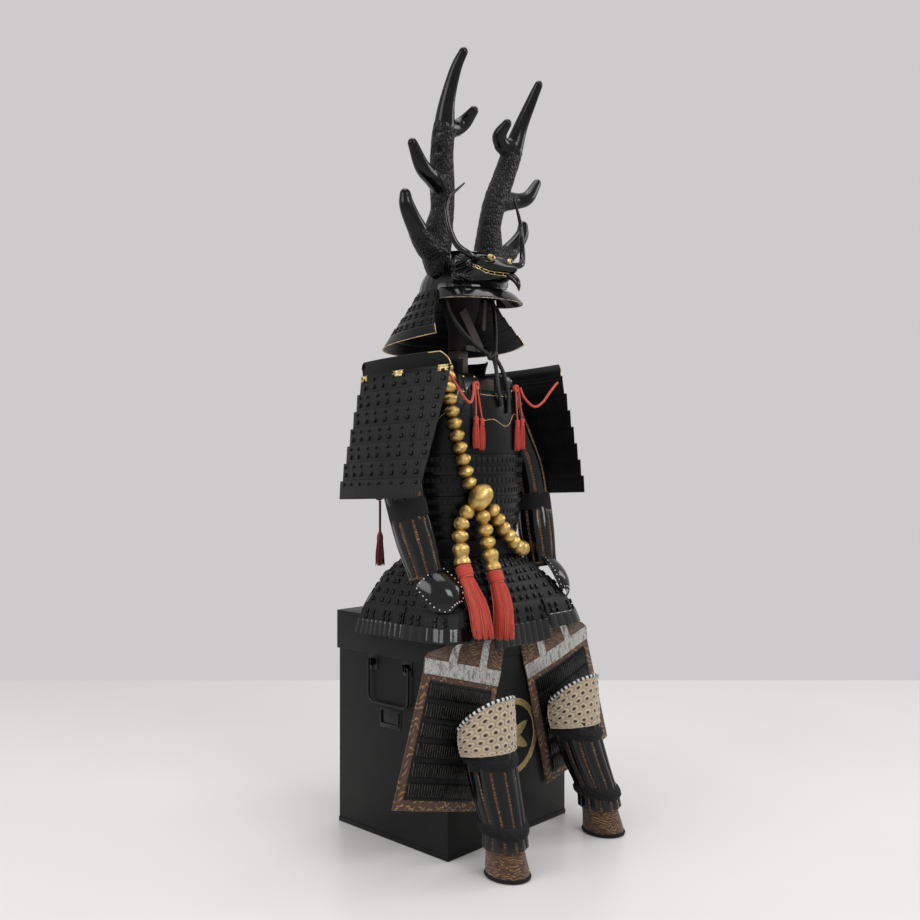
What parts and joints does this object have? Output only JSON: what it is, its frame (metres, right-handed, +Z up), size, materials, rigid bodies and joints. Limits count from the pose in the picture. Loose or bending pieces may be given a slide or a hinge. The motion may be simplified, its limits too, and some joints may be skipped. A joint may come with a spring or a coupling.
{
  "type": "samurai armour on its armour box stand",
  "caption": "Black-laced samurai armour with an antlered helmet, gold bead string and red tassels, displayed sitting on its black armour box, over a hidden wooden cross stand",
  "frame": {"origin": "centre of the armour box's underside, on the floor", "axes": "+Z up, the suit faces -Y, +X is the wearer's left"},
  "size_m": [0.8164, 0.6022, 1.9369],
  "materials": {
    "box_lacquer": "black lacquered wood, satin",
    "black_iron": "black painted wrought iron",
    "dark_wood": "dark stained wood, matt",
    "head_cloth": "brown cloth over a head block",
    "black_lacquer": "glossy black lacquer on iron",
    "matt_black_plate": "satin black lacquered lames with black lacing",
    "black_cloth": "black silk",
    "brown_brocade": "brown brocade with gold thread",
    "silver_leather": "silver grey leather",
    "tan_quilt": "quilted tan cloth",
    "gold_lacquer": "gold lacquered wooden beads, satin",
    "red_silk": "coral red silk cord",
    "wine_silk": "dark red silk cord"
  },
  "bodies": {
    "armour": {"box_body": "box_lacquer", "box_lid": "box_lacquer", "stand_cross": "dark_wood", "stand_head": "head_cloth", "cuirass_front": "black_lacquer", "cuirass_back": "black_lacquer", "shoulder_strap_right": "black_lacquer", "shoulder_strap_left": "black_lacquer", "collar": "black_cloth", "waist_sash": "black_cloth", "chin_cord": "black_cloth", "skirt_front": "matt_black_plate", "skirt_front_left": "matt_black_plate", "skirt_front_right": "matt_black_plate", "skirt_side_left": "matt_black_plate", "skirt_side_right": "matt_black_plate", "skirt_back_left": "matt_black_plate", "skirt_back_right": "matt_black_plate", "shoulder_guard_right": "matt_black_plate", "shoulder_guard_left": "matt_black_plate", "shoulder_crown_right": "black_lacquer", "shoulder_crown_left": "black_lacquer", "sleeve_right": "brown_brocade", "sleeve_left": "brown_brocade", "hand_guard_right": "black_lacquer", "hand_guard_left": "black_lacquer", "thigh_panel_right": "brown_brocade", "thigh_panel_left": "brown_brocade", "thigh_band_right": "silver_leather", "thigh_band_left": "silver_leather", "thigh_splints_right": "black_lacquer", "thigh_splints_left": "black_lacquer", "shin_guard_right": "black_lacquer", "shin_guard_left": "black_lacquer", "knee_guard_right": "tan_quilt", "knee_guard_left": "tan_quilt", "foot_right": "brown_brocade", "foot_left": "brown_brocade", "helmet_bowl": "black_lacquer", "visor": "black_lacquer", "neck_guard": "matt_black_plate", "antler_right": "black_lacquer", "antler_left": "black_lacquer", "front_crest": "black_lacquer", "bead_strand": "gold_lacquer", "bead_pendant_right": "gold_lacquer", "bead_pendant_left": "gold_lacquer", "big_tassel_right": "red_silk", "big_tassel_left": "red_silk", "chest_cord_right": "red_silk", "chest_cord_left": "red_silk", "chest_tassel_right_1": "red_silk", "chest_tassel_right_2": "red_silk", "chest_tassel_left_1": "red_silk", "chest_tassel_left_2": "red_silk", "back_cord": "wine_silk", "back_tassel_right": "wine_silk", "back_tassel_left": "wine_silk"},
    "handle_right": {"box_handle_right": "black_iron"},
    "handle_left": {"box_handle_left": "black_iron"}
  },
  "joints": [
    {"name": "handle_right_hinge", "type": "hinge", "parent": "armour", "child": "handle_right", "pos_m": [-0.2335, 0, 0.434], "axis": [0, 1, 0], "range_deg": [0, 130]},
    {"name": "handle_left_hinge", "type": "hinge", "parent": "armour", "child": "handle_left", "pos_m": [0.2335, 0, 0.434], "axis": [0, -1, 0], "range_deg": [0, 130]}
  ]
}
